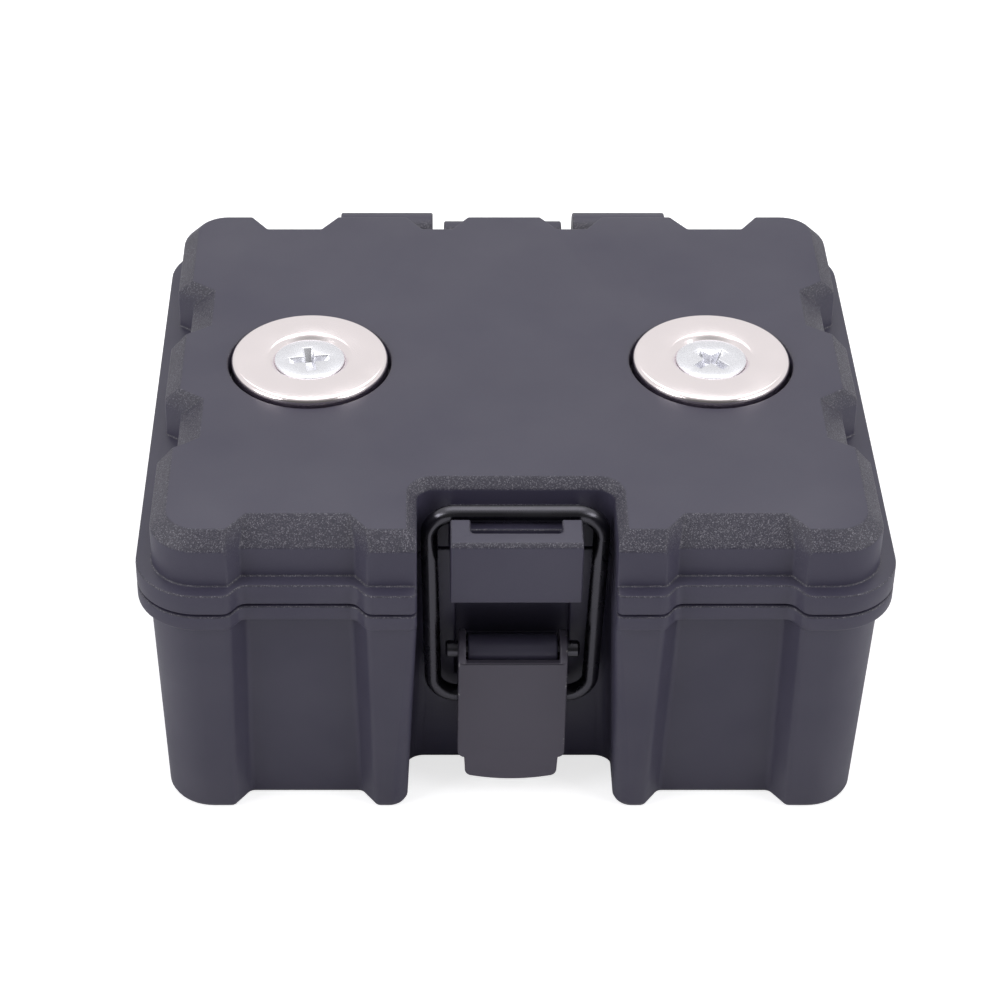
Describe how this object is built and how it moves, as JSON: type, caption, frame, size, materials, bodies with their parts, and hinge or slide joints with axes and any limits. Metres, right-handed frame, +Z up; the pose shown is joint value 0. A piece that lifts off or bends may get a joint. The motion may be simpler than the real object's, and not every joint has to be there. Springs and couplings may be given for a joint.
{
  "type": "magnetic key holder box",
  "caption": "Small lidded box with ring magnets screwed into its lid, a rear pin hinge, a rubber-sealed seam and a wire bail latch with a folded lever at the front.",
  "frame": {"origin": "middle of the overall footprint, at the underside of the base", "axes": "+Z up, the latch faces -Y and the hinge is at +Y, +X is to the right seen from the latch side"},
  "size_m": [0.087, 0.08, 0.0445],
  "materials": {
    "shell_plastic": "fine spark texture, satin",
    "seal_rubber": "matt",
    "pin_steel": "bright zinc",
    "magnet_nickel": "satin nickel plate",
    "screw_steel": "nickel plated",
    "lever_black_steel": "satin black",
    "wire_black_steel": "gloss black"
  },
  "bodies": {
    "base": {"base_shell": "shell_plastic", "hinge_pin": "pin_steel", "lever_pin": "pin_steel"},
    "lid": {"lid_shell": "shell_plastic", "lid_seal": "seal_rubber", "magnet_left": "magnet_nickel", "magnet_right": "magnet_nickel", "magnet_screw_left": "screw_steel", "magnet_screw_right": "screw_steel", "screw_seal_left": "seal_rubber", "screw_seal_right": "seal_rubber", "magnet_washer_left": "screw_steel", "magnet_washer_right": "screw_steel", "magnet_nut_left": "screw_steel", "magnet_nut_right": "screw_steel"},
    "lever": {"latch_lever": "lever_black_steel"},
    "bail": {"latch_bail": "wire_black_steel"}
  },
  "joints": [
    {"name": "lid_hinge", "type": "hinge", "parent": "base", "child": "lid", "pos_m": [0, 0.0365, 0.0371], "axis": [-1, 0, 0], "range_deg": [0, 110]},
    {"name": "lever_pivot", "type": "hinge", "parent": "base", "child": "lever", "pos_m": [0, -0.02965, 0.0209], "axis": [-1, 0, 0], "range_deg": [0, 110]},
    {"name": "bail_pivot", "type": "hinge", "parent": "lever", "child": "bail", "pos_m": [0, -0.02885, 0.0134], "axis": [-1, 0, 0], "range_deg": [-84.15, 0]}
  ],
  "couplings": [
    {"joint": "bail_pivot", "follows": "lever_pivot", "ratio": -0.765}
  ]
}
